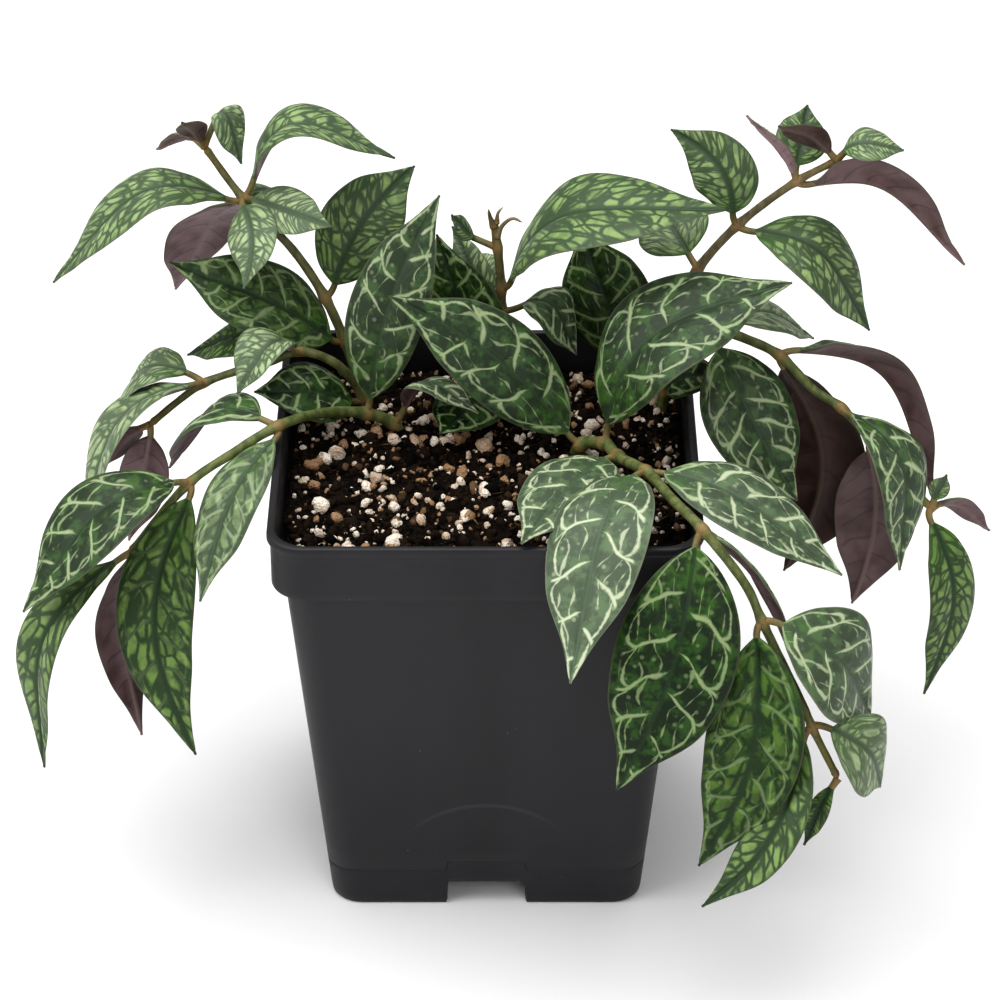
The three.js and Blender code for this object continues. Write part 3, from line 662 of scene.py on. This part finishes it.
def stalk_and_midrib(shoot, item, joined, rows):
    """The leaf's centre line. It leaves the stem's axis and turns into the midrib on a curve drawn to one
    control point, where the leaf touches the stem, or for a young leaf a third of the way to the blade.
    It returns the line, how far up the blade each row
    is, its distance from the stem, and the way that the blade faces."""
    start = leaf_base(shoot, item, joined)
    node = np.array(shoot["path"][item["at"]], dtype=float)
    length = np.linalg.norm(np.array(item["tip"]) - start)
    blade_from = item.get("petiole", PETIOLE) * STALK_SHARE / length
    way = np.linspace(0, 1, 7)[:-1, None]
    joins, face = midrib(item, start, np.array([blade_from]))
    turn = start if not joined else (2 * node + joins[0]) / 3
    stalk = node * (1 - way) ** 2 + turn * 2 * way * (1 - way) + joins * way**2
    spread = (0.5 - 0.5 * np.cos(np.linspace(0, np.pi, rows))) ** 0.9
    blade, _ = midrib(item, start, blade_from + (1 - blade_from) * spread)
    centre = np.concatenate([stalk, blade])
    v = np.concatenate([np.zeros(len(stalk)), spread])
    distance = np.concatenate([[0], np.cumsum(np.linalg.norm(np.diff(centre, axis=0), axis=1))])
    return centre, v, distance, face


def make_leaf(name, shoot, item, index, joined, materials):
    """A leaf: rows run along it and columns across it. A point is the midrib, plus the way across times
    the half width there, plus a lift along the blade's normal. The lift folds the two halves up from the
    midrib, curls their margins down, waves them, sinks the side veins and hollows the midrib."""
    blade_rows, columns = (58, 25) if item["width"] > 12 else (34, 17)
    centre, v, distance, face = stalk_and_midrib(shoot, item, joined, blade_rows)
    rows = len(centre)
    forward = unit(np.gradient(centre, axis=0))
    up = unit(face - (forward @ face)[:, None] * forward)
    across = np.cross(forward, up)

    stalk_half = STALK_RADIUS * (1 + 0.35 * np.exp(-distance / 1.5))
    half = np.hypot(item["width"] / 2 * blade_outline(v), stalk_half * (1 - v) ** 3)
    half = np.maximum(half, TIP_HALF_WIDTH)
    q = np.sin(np.linspace(-np.pi / 2, np.pi / 2, columns))[None, :]
    rng = np.random.default_rng(100 + index)
    seed = rng.uniform(0, 1)
    wave_phase, wave_count = rng.uniform(0, 6.28), rng.uniform(1.6, 2.6)
    x = q * half[:, None]
    y = distance[:, None] + 0 * x
    spacing = distance[-1] / (5.8 + 3.0 * item["age"])
    settled = (np.clip(v * 6, 0, 1) * np.clip((1 - v) * 8, 0, 1))[:, None]
    fold = math.tan(math.radians(item.get("fold", FOLD)))
    curl = item.get("curl", CURL) * q**2
    wave = 0.014 * item["width"] * np.sin(wave_count * 6.28 * v[:, None] + wave_phase + np.sign(q) * 0.8)
    slant = np.abs(x) * (VEIN_SLANT + VEIN_BEND * np.abs(q))
    phase = (y - slant) / spacing + np.where(x > 0, VEIN_OFFSET, 0) + seed
    ridge = np.abs(phase % 1 - 0.5) * 2
    quilt = -0.22 * smooth_step(0.6, 1.0, ridge) * np.sin(np.abs(q) * np.pi)
    groove = -0.40 * np.exp(-((x / 0.8) ** 2))
    lift = half[:, None] * (fold * np.abs(q) - curl * settled)
    lift = lift * np.clip(v * 10, 0, 1)[:, None] + settled * (wave * np.abs(q) ** 3 + quilt + groove)

    round_stalk = stalk_half[:, None] * np.sqrt(np.clip(1 - q**2, 0, 1))
    thin = (BLADE_HALF_THICKNESS * (1 - 0.55 * v))[:, None] * (1 - q**6) + 0.06
    keel = 0.45 * np.exp(-((x / 0.9) ** 2)) * (1 - v)[:, None]
    blend = np.clip(v * 10, 0, 1)[:, None]
    above = round_stalk * (1 - blend) + thin * blend
    below = round_stalk * (1 - blend) + (thin + keel) * blend
    surface = centre[:, None, :] + across[:, None, :] * x[..., None]
    top = surface + up[:, None, :] * (lift + above)[..., None]
    under = surface + up[:, None, :] * (lift - below)[..., None]
    top[:, [0, -1]] = surface[:, [0, -1]] + up[:, None, :] * lift[:, [0, -1], None]
    ring = np.concatenate([top, under[:, -2:0:-1]], axis=1)
    count = ring.shape[1]
    points = np.concatenate([ring.reshape(-1, 3), [centre[0], centre[-1] + forward[-1] * 0.2]])
    c = np.tile(np.arange(count), (rows - 1, 1))
    k = np.arange(count)
    following = (k + 1) % count
    last_row = (rows - 1) * count
    base_fan = np.stack([np.full(count, rows * count), following, k], axis=-1)
    tip_fan = np.stack([np.full(count, rows * count + 1), last_row + k, last_row + following], axis=-1)
    faces = ring_quads(rows, count).tolist() + base_fan.tolist() + tip_fan.tolist()
    slots = np.where(c < columns - 1, 0, 1)
    slots[v[:-1] <= 0.0] = 2
    slots = np.concatenate([slots.reshape(-1), np.full(count, 2), np.zeros(count)])
    ring_x = np.concatenate([x, x[:, -2:0:-1]], axis=1)

    def per_point(by_row):
        return np.concatenate([np.repeat(by_row, count), [by_row[0], by_row[-1]]])

    attributes = {
        "leaf_x": np.concatenate([ring_x.reshape(-1), [0, 0]]),
        "leaf_y": per_point(distance),
        "leaf_v": per_point(v),
        "leaf_half": per_point(half),
        "leaf_seed": np.full(len(points), seed),
        "leaf_spacing": np.full(len(points), spacing),
        "leaf_age": np.full(len(points), item["age"]),
        # Painted sheen: how far the leaf's colours are greyed, standing in for the soft reflection of the
        # lights.
        "leaf_painted_sheen": np.full(len(points), item["pale"]),
        "stem_v": np.full(len(points), 0.85),
        "stem_bark": np.full(len(points), 0.4),
        "stem_node": per_point(np.exp(-((distance / 3.4) ** 2))),
    }
    made = make_object(name, to_metres(points), faces, materials, slots, attributes)
    return made


def smooth_path(points, steps):
    """A centripetal Catmull-Rom curve through points, at evenly spaced lengths along it."""
    p = np.array(points, dtype=float)
    p = np.concatenate([[2 * p[0] - p[1]], p, [2 * p[-1] - p[-2]]])
    knots = np.concatenate([[0], np.cumsum(np.linalg.norm(np.diff(p, axis=0), axis=1) ** 0.5)])
    dense = []
    for i in range(1, len(p) - 2):
        t0, t1, t2, t3 = knots[i - 1:i + 3]
        t = np.linspace(t1, t2, 40, endpoint=False)[:, None]
        a1 = (t1 - t) / (t1 - t0) * p[i - 1] + (t - t0) / (t1 - t0) * p[i]
        a2 = (t2 - t) / (t2 - t1) * p[i] + (t - t1) / (t2 - t1) * p[i + 1]
        a3 = (t3 - t) / (t3 - t2) * p[i + 1] + (t - t2) / (t3 - t2) * p[i + 2]
        b1 = (t2 - t) / (t2 - t0) * a1 + (t - t0) / (t2 - t0) * a2
        b2 = (t3 - t) / (t3 - t1) * a2 + (t - t1) / (t3 - t1) * a3
        dense.append((t2 - t) / (t2 - t1) * b1 + (t - t1) / (t2 - t1) * b2)
    dense = np.concatenate(dense + [p[-2:-1]])
    lengths = np.concatenate([[0], np.cumsum(np.linalg.norm(np.diff(dense, axis=0), axis=1))])
    wanted = np.linspace(0, lengths[-1], steps)
    return np.stack([np.interp(wanted, lengths, dense[:, k]) for k in range(3)], axis=1), lengths[-1]


def make_stem(name, node, path, radii, nodes, bark, materials):
    """A stem: circles carried along the curve through its points. The radius tapers, swells at each node
    and ripples slightly, and the tip rounds off."""
    sides = 18
    path = np.array(path, dtype=float)
    _, length = smooth_path(path, 2)
    steps = max(int(length / 0.8), 14)
    centre, _ = smooth_path(path, steps)
    tangent = unit(np.gradient(centre, axis=0))
    normal = unit(np.cross(tangent, np.array([0.3, 0.9, 0.3])))
    binormal = np.cross(tangent, normal)
    u = np.linspace(0, 1, steps)
    gap = np.min([np.linalg.norm(centre - place, axis=1) for place in nodes], axis=0)
    swell = np.exp(-((gap / 1.9) ** 2))
    radius = np.interp(u, (0, 1), radii) * (0.84 + 0.26 * swell) * (1 + 0.02 * np.sin(u * length * 0.9))
    radius = (radius - 0.1) * np.sqrt(np.clip((1 - u) * length / 1.6, 0.02, 1))
    angle = np.linspace(0, 2 * np.pi, sides, endpoint=False)[None, :, None]
    circle = np.cos(angle) * normal[:, None] + np.sin(angle) * binormal[:, None]
    points = (centre[:, None] + circle * radius[:, None, None]).reshape(-1, 3)
    faces = ring_quads(steps, sides).tolist()
    faces.append(list(range(sides))[::-1])
    faces.append([(steps - 1) * sides + k for k in range(sides)])
    attributes = {
        "stem_v": np.repeat(u, sides),
        "stem_node": np.repeat(swell**2, sides),
        "stem_bark": np.full(len(points), bark),
    }
    made = make_object(name, to_metres(points), faces, materials, None, attributes)
    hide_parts(node)
    return made


# Pot proportions that the frame's box doesn't give, in millimetres.
FOOT_HALF = 41.5
SHOULDER_HALF = 51.0
SHOULDER_Z = 106.0
BAND_HALF = 54.2
LIP_HEIGHT = 2.5
CORNER_RADIUS = 9.0
WALL = 1.8
NOTCH_HALF = 10.5
NOTCH_HEIGHT = 7.0
ARCH_CENTRE = 9.0
ARCH_RADIUS = 26.3
FLOOR_TOP = 9.4
FADE_HEIGHT = 20  # above this the rows on the outside are level again
OUTER_ROWS = 16  # rows counted from the foot that are all on the outside


def square_ring(half, radius):
    """Points round a square with round corners. Along each side they keep fixed distances from its middle
    near the notch, so that the notch's edges stay straight from row to row."""
    reach = half - radius
    beside_notch, to_edge = 14, 0.3
    inner = np.array([-beside_notch, -NOTCH_HALF - to_edge, -NOTCH_HALF + to_edge, -5, 0, 5,
                      NOTCH_HALF - to_edge, NOTCH_HALF + to_edge, beside_notch])
    outer = np.linspace(beside_notch, reach, 6)[1:]
    side = np.concatenate([-outer[::-1], inner, outer])
    arc = np.radians(np.linspace(0, 90, 13)[1:-1])
    ring = []
    for corner in range(4):
        turn = corner * np.pi / 2
        along = np.stack([np.full(len(side), half), side], axis=1)
        bend = np.stack([reach + radius * np.cos(arc), reach + radius * np.sin(arc)], axis=1)
        quarter = np.concatenate([along, bend])
        spin = np.array([[math.cos(turn), math.sin(turn)], [-math.sin(turn), math.cos(turn)]])
        ring.append(quarter @ spin)
    return np.concatenate(ring)


def make_pot(material):
    """The pot: square rings carried up the outside, over the lip and down the inside. Near the table the
    wall starts at the height of the notch where a ring point lies in one, and under the pot each spoke
    from the wall to the middle steps up where it enters a channel."""
    top = (POT_HIGH[2] - POT_LOW[2]) / MM
    lip = (POT_HIGH[0] - POT_LOW[0]) / MM / 2
    lip_z = top - LIP_HEIGHT

    def body_half(z):
        return FOOT_HALF + (SHOULDER_HALF - FOOT_HALF) * z / SHOULDER_Z

    outside = [(0, FOOT_HALF - 0.9), (0.25, FOOT_HALF - 0.35), (0.9, FOOT_HALF)]
    outside += [(z, body_half(z)) for z in (3, 6, 9, 11.6, 12.0, 12.4, 20, 35, 50, 65, 80, 95, 104)]
    outside = [(z, half - (0.18 if z == 12.0 else 0)) for z, half in outside]
    outside += [(SHOULDER_Z - 0.5, SHOULDER_HALF), (SHOULDER_Z, SHOULDER_HALF + 0.25)]
    outside += [(SHOULDER_Z + 0.25, SHOULDER_HALF + 1.2), (SHOULDER_Z + 0.4, BAND_HALF - 0.9)]
    outside += [(SHOULDER_Z + 0.7, BAND_HALF - 0.25), (SHOULDER_Z + 1.4, BAND_HALF)]
    outside += [(z, BAND_HALF) for z in (109, 113, 117)]
    outside += [(lip_z - 0.5, BAND_HALF), (lip_z, BAND_HALF + 0.12), (lip_z + 0.35, lip - 0.15)]
    outside += [(lip_z + 0.8, lip), (top - 0.7, lip), (top - 0.2, lip - 0.2), (top, lip - 0.65)]
    outside += [(top, lip - 1.5), (top - 0.2, lip - 1.95), (top - 0.7, lip - 2.15)]
    outside += [(112, BAND_HALF - WALL), (108.6, BAND_HALF - WALL), (106.6, SHOULDER_HALF - WALL)]
    outside += [(60, body_half(60) - WALL), (FLOOR_TOP, body_half(FLOOR_TOP) - WALL)]
    rows = []
    for z, half in outside:
        radius = max(CORNER_RADIUS - max(0, lip - 0.8 - half) * 0.1, 5)
        ring = square_ring(half, radius)
        rows.append(np.column_stack([ring, np.full(len(ring), z)]))
    count = len(rows[0])
    side_way = np.min(np.abs(rows[0][:, :2]), axis=1)
    notch = np.where(side_way < NOTCH_HALF, NOTCH_HEIGHT, 0.0)
    for i, (z, _) in enumerate(outside):
        if z < FADE_HEIGHT and i < OUTER_ROWS:
            rows[i][:, 2] = notch + z * (FADE_HEIGHT - notch) / FADE_HEIGHT
    foot = rows[0]
    crossing = np.where(side_way > NOTCH_HALF, NOTCH_HALF / np.maximum(side_way, 0.1), 1.0)
    under = []
    for share in (0.5, 1.0):
        scale = 1 + (crossing - 1) * share
        under.append(np.column_stack([foot[:, :2] * scale[:, None], foot[:, 2]]))
    step = foot[:, :2] * (crossing * 0.995)[:, None]
    under.append(np.column_stack([step, np.full(count, NOTCH_HEIGHT)]))
    under.append(np.column_stack([step * 0.5, np.full(count, NOTCH_HEIGHT)]))
    grid = np.stack(under[::-1] + rows)
    points = np.concatenate([grid.reshape(-1, 3), [[0, 0, NOTCH_HEIGHT], [0, 0, FLOOR_TOP]]])
    lines = len(grid)
    faces = ring_quads(lines, count).tolist()
    below, inside = len(points) - 2, len(points) - 1
    for k in range(count):
        following = (k + 1) % count
        faces.append([below, following, k])
        faces.append([inside, (lines - 1) * count + k, (lines - 1) * count + following])
    made = make_object("nursery_pot", to_metres(points), faces, [material])
    made.data.set_sharp_from_angle(angle=math.radians(32))
    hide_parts("pot")
    return made


def scatter(rng, count, half):
    """Random places inside a square, in millimetres."""
    return rng.uniform(-half, half, (count, 2))


def soil_height(x, y):
    """Height of the soil's surface over its level, in millimetres: a few sines of different lengths."""
    wide = np.sin(x * 0.09 + 1.0) * np.cos(y * 0.08 + 0.4)
    middle = np.sin(x * 0.31 + y * 0.17) * np.cos(y * 0.37 - x * 0.11 + 2.0)
    small = np.sin(x * 1.1 + np.sin(y * 0.9)) * np.cos(y * 1.3 + np.sin(x * 0.7))
    return 0.9 + 0.5 * wide + 0.35 * middle + 0.25 * small


def make_soil_surface(material):
    """The soil's rough top: a sheet over a square, lifted by soil_height, with a skirt down into the
    soil block."""
    half = BAND_HALF - WALL - 0.5
    steps = 150
    line = np.linspace(-half, half, steps)
    x, y = np.meshgrid(line, line)
    corner = 8
    past_x, past_y = np.maximum(np.abs(x) - half + corner, 0), np.maximum(np.abs(y) - half + corner, 0)
    pull = np.maximum(np.hypot(past_x, past_y) / corner, 1)
    x, y = x / (1 + (pull - 1) * 0.10), y / (1 + (pull - 1) * 0.10)
    rng = np.random.default_rng(7)
    z = soil_height(x, y) + rng.normal(0, 0.12, x.shape)
    z[[0, -1], :] = -0.6
    z[:, [0, -1]] = -0.6
    level = (SOIL_TOP - AXIS[2]) / MM
    points = np.stack([x, y, z + level], axis=-1).reshape(-1, 3)
    floor = points.copy()
    floor[:, 2] = level - 0.8
    r, c = np.meshgrid(np.arange(steps - 1), np.arange(steps - 1), indexing="ij")
    a = (r * steps + c).reshape(-1)
    top = np.stack([a, a + 1, a + steps + 1, a + steps], axis=-1)
    base = top[:, ::-1] + len(points)
    rim = np.concatenate([
        np.arange(steps),
        np.arange(1, steps) * steps + steps - 1,
        (steps - 1) * steps + np.arange(steps - 2, -1, -1),
        np.arange(steps - 2, 0, -1) * steps,
    ])
    following = np.roll(rim, -1)
    wall = np.stack([rim, rim + len(points), following + len(points), following], axis=-1)
    made = make_object(
        "soil_surface",
        to_metres(np.concatenate([points, floor])),
        np.concatenate([top, base, wall]),
        [material],
    )
    return made


def pebble_template():
    """An icosahedron split once, as unit directions and triangles."""
    golden = (1 + 5**0.5) / 2
    corners = [(-1, golden, 0), (1, golden, 0), (-1, -golden, 0), (1, -golden, 0), (0, -1, golden),
               (0, 1, golden), (0, -1, -golden), (0, 1, -golden), (golden, 0, -1), (golden, 0, 1),
               (-golden, 0, -1), (-golden, 0, 1)]
    triangles = [(0, 11, 5), (0, 5, 1), (0, 1, 7), (0, 7, 10), (0, 10, 11), (1, 5, 9), (5, 11, 4),
                 (11, 10, 2), (10, 7, 6), (7, 1, 8), (3, 9, 4), (3, 4, 2), (3, 2, 6), (3, 6, 8),
                 (3, 8, 9), (4, 9, 5), (2, 4, 11), (6, 2, 10), (8, 6, 7), (9, 8, 1)]
    points = [np.array(c) / np.linalg.norm(c) for c in corners]
    middles, split = {}, []

    def middle(i, j):
        key = (min(i, j), max(i, j))
        if key not in middles:
            point = points[i] + points[j]
            points.append(point / np.linalg.norm(point))
            middles[key] = len(points) - 1
        return middles[key]

    for i, j, k in triangles:
        ij, jk, ki = middle(i, j), middle(j, k), middle(k, i)
        split += [(i, ij, ki), (j, jk, ij), (k, ki, jk), (ij, jk, ki)]
    coarse = np.array(corners) / np.linalg.norm(corners[0])
    return coarse, np.array(triangles), np.array(points), np.array(split)


def make_grains(name, seed, places, sizes, sink, stretch, lumps, fine, material, flatten=1.0):
    """Grains lying on the soil: each is a ball whose points are pushed in and out by random waves, then
    stretched, turned, flattened and set down at its place, all worked out as one array."""
    rng = np.random.default_rng(seed)
    coarse_points, coarse_faces, fine_points, fine_faces = pebble_template()
    ball, tris = (fine_points, fine_faces) if fine else (coarse_points, coarse_faces)
    count = len(places)
    waves = rng.normal(0, 2.2, (count, 3, 3))
    shift = rng.uniform(0, 6.28, (count, 3))
    radius = 1 + lumps * np.sin(np.einsum("pk,nwk->npw", ball, waves) + shift[:, None]).sum(axis=2)
    shape = ball[None] * radius[..., None] * rng.uniform(*stretch, (count, 1, 3))
    quaternion = unit(rng.normal(0, 1, (count, 4)))
    w, x, y, z = quaternion.T
    turn = np.stack([
        1 - 2 * (y * y + z * z), 2 * (x * y - z * w), 2 * (x * z + y * w),
        2 * (x * y + z * w), 1 - 2 * (x * x + z * z), 2 * (y * z - x * w),
        2 * (x * z - y * w), 2 * (y * z + x * w), 1 - 2 * (x * x + y * y),
    ], axis=1).reshape(count, 3, 3)
    shape = np.einsum("nij,npj->npi", turn, shape) * sizes[:, None, None] * [1, 1, flatten]
    level = (SOIL_TOP - AXIS[2]) / MM
    height = level + soil_height(places[:, 0], places[:, 1]) + sizes * sink
    centre = np.column_stack([places, height])
    points = (shape + centre[:, None]).reshape(-1, 3)
    limit = BAND_HALF - WALL - 0.4
    points[:, :2] = np.clip(points[:, :2], -limit, limit)
    faces = (tris[None] + (np.arange(count) * len(ball))[:, None, None]).reshape(-1, 3)
    tone = np.repeat(rng.uniform(0, 1, count), len(ball))
    made = make_object(name, to_metres(points), faces, [material], None, {"tone": tone})
    return made


# Caps on the radius of a crumb and of a pale grain, in millimetres.
LARGEST_CRUMB = 2.2
LARGEST_GRAIN = 2.3

# The studio: metres and watts, apart from the camera's target, in millimetres from the pot's axis, and
# its sensor, in millimetres.
FLOOR_REACH = 6.0
SKY_STRENGTH = 0.45
SENSOR = 36.0
CAMERA_TARGET = (3.66, 0.0, 102.2)
LAMP_TARGET_HEIGHT = 0.1
SOFTBOXES = (  # name, place, size, power
    ("top_softbox", (-0.15, 0.1, 1.5), 1.5, 20.0),
    ("left_softbox", (-1.1, -0.5, 1.0), 0.9, 7.0),
    ("front_softbox", (0.5, -1.7, 1.1), 1.0, 7.0),
)


# ---------------------------------------------------------------- settings, operators and panel


class PlantSettings(bpy.types.PropertyGroup):
    """What a user would change about the plant's dressing."""

    perlite_count: bpy.props.IntProperty(
        name="Perlite grains", description="How many pale grains lie on the soil", default=950, min=0)
    crumb_count: bpy.props.IntProperty(
        name="Soil crumbs", description="How many dark crumbs lie on the soil", default=3600, min=0)
    sliver_count: bpy.props.IntProperty(
        name="Bark slivers", description="How many slivers of bark lie on the soil", default=420, min=0)
    perlite_size: bpy.props.FloatProperty(
        name="Perlite size", description="Radius of a middling grain", default=0.0007, unit="LENGTH")
    crumb_size: bpy.props.FloatProperty(
        name="Crumb size", description="Radius of a middling crumb", default=0.00062, unit="LENGTH")


class StageSettings(bpy.types.PropertyGroup):
    """The studio round the plant."""

    view_distance: bpy.props.FloatProperty(
        name="View distance", description="From the camera to its target", default=1.0135, unit="LENGTH")
    view_elevation: bpy.props.FloatProperty(
        name="View elevation", description="The camera's height angle", default=math.radians(32.52),
        subtype="ANGLE")
    lens: bpy.props.FloatProperty(name="Lens", description="Focal length in millimetres", default=138.34)
    floor_colour: bpy.props.FloatVectorProperty(
        name="Floor colour", description="Colour of the studio floor", default=(0.86, 0.86, 0.86),
        subtype="COLOR", size=3)


class PLANT_OT_pot(bpy.types.Operator):
    """Makes the nursery pot"""

    bl_idname = "plant.pot"
    bl_label = "Make pot"

    def execute(self, context):
        make_pot(pot_material())
        return {"FINISHED"}


class PLANT_OT_soil(bpy.types.Operator):
    """Makes the soil's surface, its crumbs and its perlite"""

    bl_idname = "plant.soil"
    bl_label = "Make soil"

    def execute(self, context):
        settings = context.scene.plant_settings
        peat = soil_material()
        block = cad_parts["soil"]
        block.data.materials.clear()
        block.data.materials.append(peat)
        make_soil_surface(peat)
        rng = np.random.default_rng(21)
        half = BAND_HALF - WALL - 1.2
        crumbs = scatter(rng, settings.crumb_count, half)
        crumb_sizes = settings.crumb_size / MM * rng.lognormal(0, 0.5, settings.crumb_count)
        brown = crumb_material()
        crumb_sizes = np.minimum(crumb_sizes, LARGEST_CRUMB)
        make_grains("soil_crumbs", 31, crumbs, crumb_sizes, 0.1, (0.45, 1.5), 0.2, False, brown)
        slivers = scatter(rng, settings.sliver_count, half - 2)
        lengths = settings.crumb_size / MM * rng.lognormal(0, 0.35, settings.sliver_count)
        thin = ([0.2, 0.12, 1.8], [0.5, 0.3, 4.2])
        make_grains("bark_slivers", 35, slivers, lengths, 0.6, thin, 0.1, False, brown, 0.35)
        grains = scatter(rng, settings.perlite_count, half - 0.8)
        sizes = settings.perlite_size / MM * rng.lognormal(0, 0.55, settings.perlite_count)
        sizes = np.minimum(sizes, LARGEST_GRAIN)
        cream = perlite_material()
        make_grains("perlite_grains", 41, grains, sizes, 0.30, (0.6, 1.3), 0.15, True, cream)
        return {"FINISHED"}


class PLANT_OT_stems(bpy.types.Operator):
    """Makes every stem"""

    bl_idname = "plant.stems"
    bl_label = "Make stems"

    def execute(self, context):
        skin = stem_material()
        for name, shoot in SHOOTS.items():
            node = f"stem_{name}"
            nodes = [shoot["path"][item["at"]] for item in shoot["leaves"] + shoot["young"]]
            make_stem(node, node, shoot["path"], shoot["radii"], nodes, shoot["bark"], [skin])
            for number, (path, radii) in enumerate(shoot.get("stalks", []), 1):
                make_stem(f"stalk_{name}_{number}", node, path, radii, path[:1], 0.9, [skin])
        return {"FINISHED"}


class PLANT_OT_leaves(bpy.types.Operator):
    """Makes every leaf, grown and young"""

    bl_idname = "plant.leaves"
    bl_label = "Make leaves"

    def execute(self, context):
        materials = [leaf_upper_material(), leaf_under_material(), bpy.data.materials["stem_skin"]]
        index = 0
        for name, shoot in SHOOTS.items():
            for number, item in enumerate(shoot["leaves"], 1):
                node = f"leaf_{name}_{number}"
                made = make_leaf(node, shoot, item, index, False, materials)
                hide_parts(node)
                index += 1
            for number, item in enumerate(shoot["young"], 1):
                made = make_leaf(f"young_{name}_{number}", shoot, item, index, True, materials)
                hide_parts(f"stem_{name}")
                index += 1
        return {"FINISHED"}


class PLANT_OT_stage(bpy.types.Operator):
    """Makes the floor, the studio light and the camera"""

    bl_idname = "plant.stage"
    bl_label = "Make stage"

    def execute(self, context):
        settings = context.scene.stage_settings
        paper = Material("studio_paper")
        mottle = paper.noise(paper.position(), 3.0, 2.0)
        colour = tuple(settings.floor_colour)
        shade = tuple(0.985 * c for c in colour)
        paper.finish(Base_Color=paper.mix(shade, colour, mottle), Roughness=0.9)
        far = FLOOR_REACH
        mesh = bpy.data.meshes.new("studio_floor")
        corners = [(-far, -far, 0), (far, -far, 0), (far, far, 0), (-far, far, 0)]
        mesh.from_pydata(corners, [], [(0, 1, 2, 3)])
        mesh.materials.append(paper.material)
        floor = bpy.data.objects.new("studio_floor", mesh)
        context.scene.collection.objects.link(floor)

        world = bpy.data.worlds.new("studio_air")
        world.use_nodes = True
        sky = world.node_tree.nodes["Background"]
        sky.inputs["Color"].default_value = (1.0, 1.0, 1.0, 1.0)
        sky.inputs["Strength"].default_value = SKY_STRENGTH
        context.scene.world = world
        target = AXIS + np.array([0, 0, LAMP_TARGET_HEIGHT])
        for name, place, size, power in SOFTBOXES:
            light = bpy.data.lights.new(name, "AREA")
            light.shape = "SQUARE"
            light.size = size
            light.energy = power
            lamp = bpy.data.objects.new(name, light)
            lamp.location = place
            lamp.rotation_euler = look(np.array(place) - target)
            context.scene.collection.objects.link(lamp)

        camera = bpy.data.cameras.new("camera")
        camera.lens = settings.lens
        camera.sensor_width = SENSOR
        camera.clip_end = 50.0
        seen = bpy.data.objects.new("camera", camera)
        elevation = settings.view_elevation
        aim = np.array([0.0, -math.cos(elevation), math.sin(elevation)]) * settings.view_distance
        target = AXIS + np.array(CAMERA_TARGET) * MM
        seen.location = target + aim
        seen.rotation_euler = look(aim)
        context.scene.collection.objects.link(seen)
        context.scene.camera = seen
        context.scene.view_settings.view_transform = "Standard"
        context.scene.view_settings.look = "Medium High Contrast"
        return {"FINISHED"}


def look(aim):
    """The rotation of a camera or lamp that stands at aim from what it points at."""
    flat = math.hypot(aim[0], aim[1])
    return (math.atan2(flat, aim[2]), 0.0, math.atan2(aim[0], -aim[1]))


class PLANT_PT_panel(bpy.types.Panel):
    """Lists the plant's pieces and their settings"""

    bl_label = "Lipstick plant"
    bl_idname = "PLANT_PT_panel"
    bl_space_type = "VIEW_3D"
    bl_region_type = "UI"
    bl_category = "Plant"

    def draw(self, context):
        layout = self.layout
        for settings in (context.scene.plant_settings, context.scene.stage_settings):
            for name in settings.__annotations__:
                layout.prop(settings, name)
        for operator in OPERATORS:
            layout.operator(operator.bl_idname)


OPERATORS = (PLANT_OT_pot, PLANT_OT_soil, PLANT_OT_stems, PLANT_OT_leaves, PLANT_OT_stage)
CLASSES = (PlantSettings, StageSettings, *OPERATORS, PLANT_PT_panel)


def register():
    for cls in CLASSES:
        bpy.utils.register_class(cls)
    bpy.types.Scene.plant_settings = bpy.props.PointerProperty(type=PlantSettings)
    bpy.types.Scene.stage_settings = bpy.props.PointerProperty(type=StageSettings)


def unregister():
    del bpy.types.Scene.stage_settings
    del bpy.types.Scene.plant_settings
    for cls in reversed(CLASSES):
        bpy.utils.unregister_class(cls)


def main():
    register()
    bpy.ops.plant.pot()
    bpy.ops.plant.soil()
    bpy.ops.plant.stems()
    bpy.ops.plant.leaves()
    bpy.ops.plant.stage()


if __name__ == "__main__":
    main()
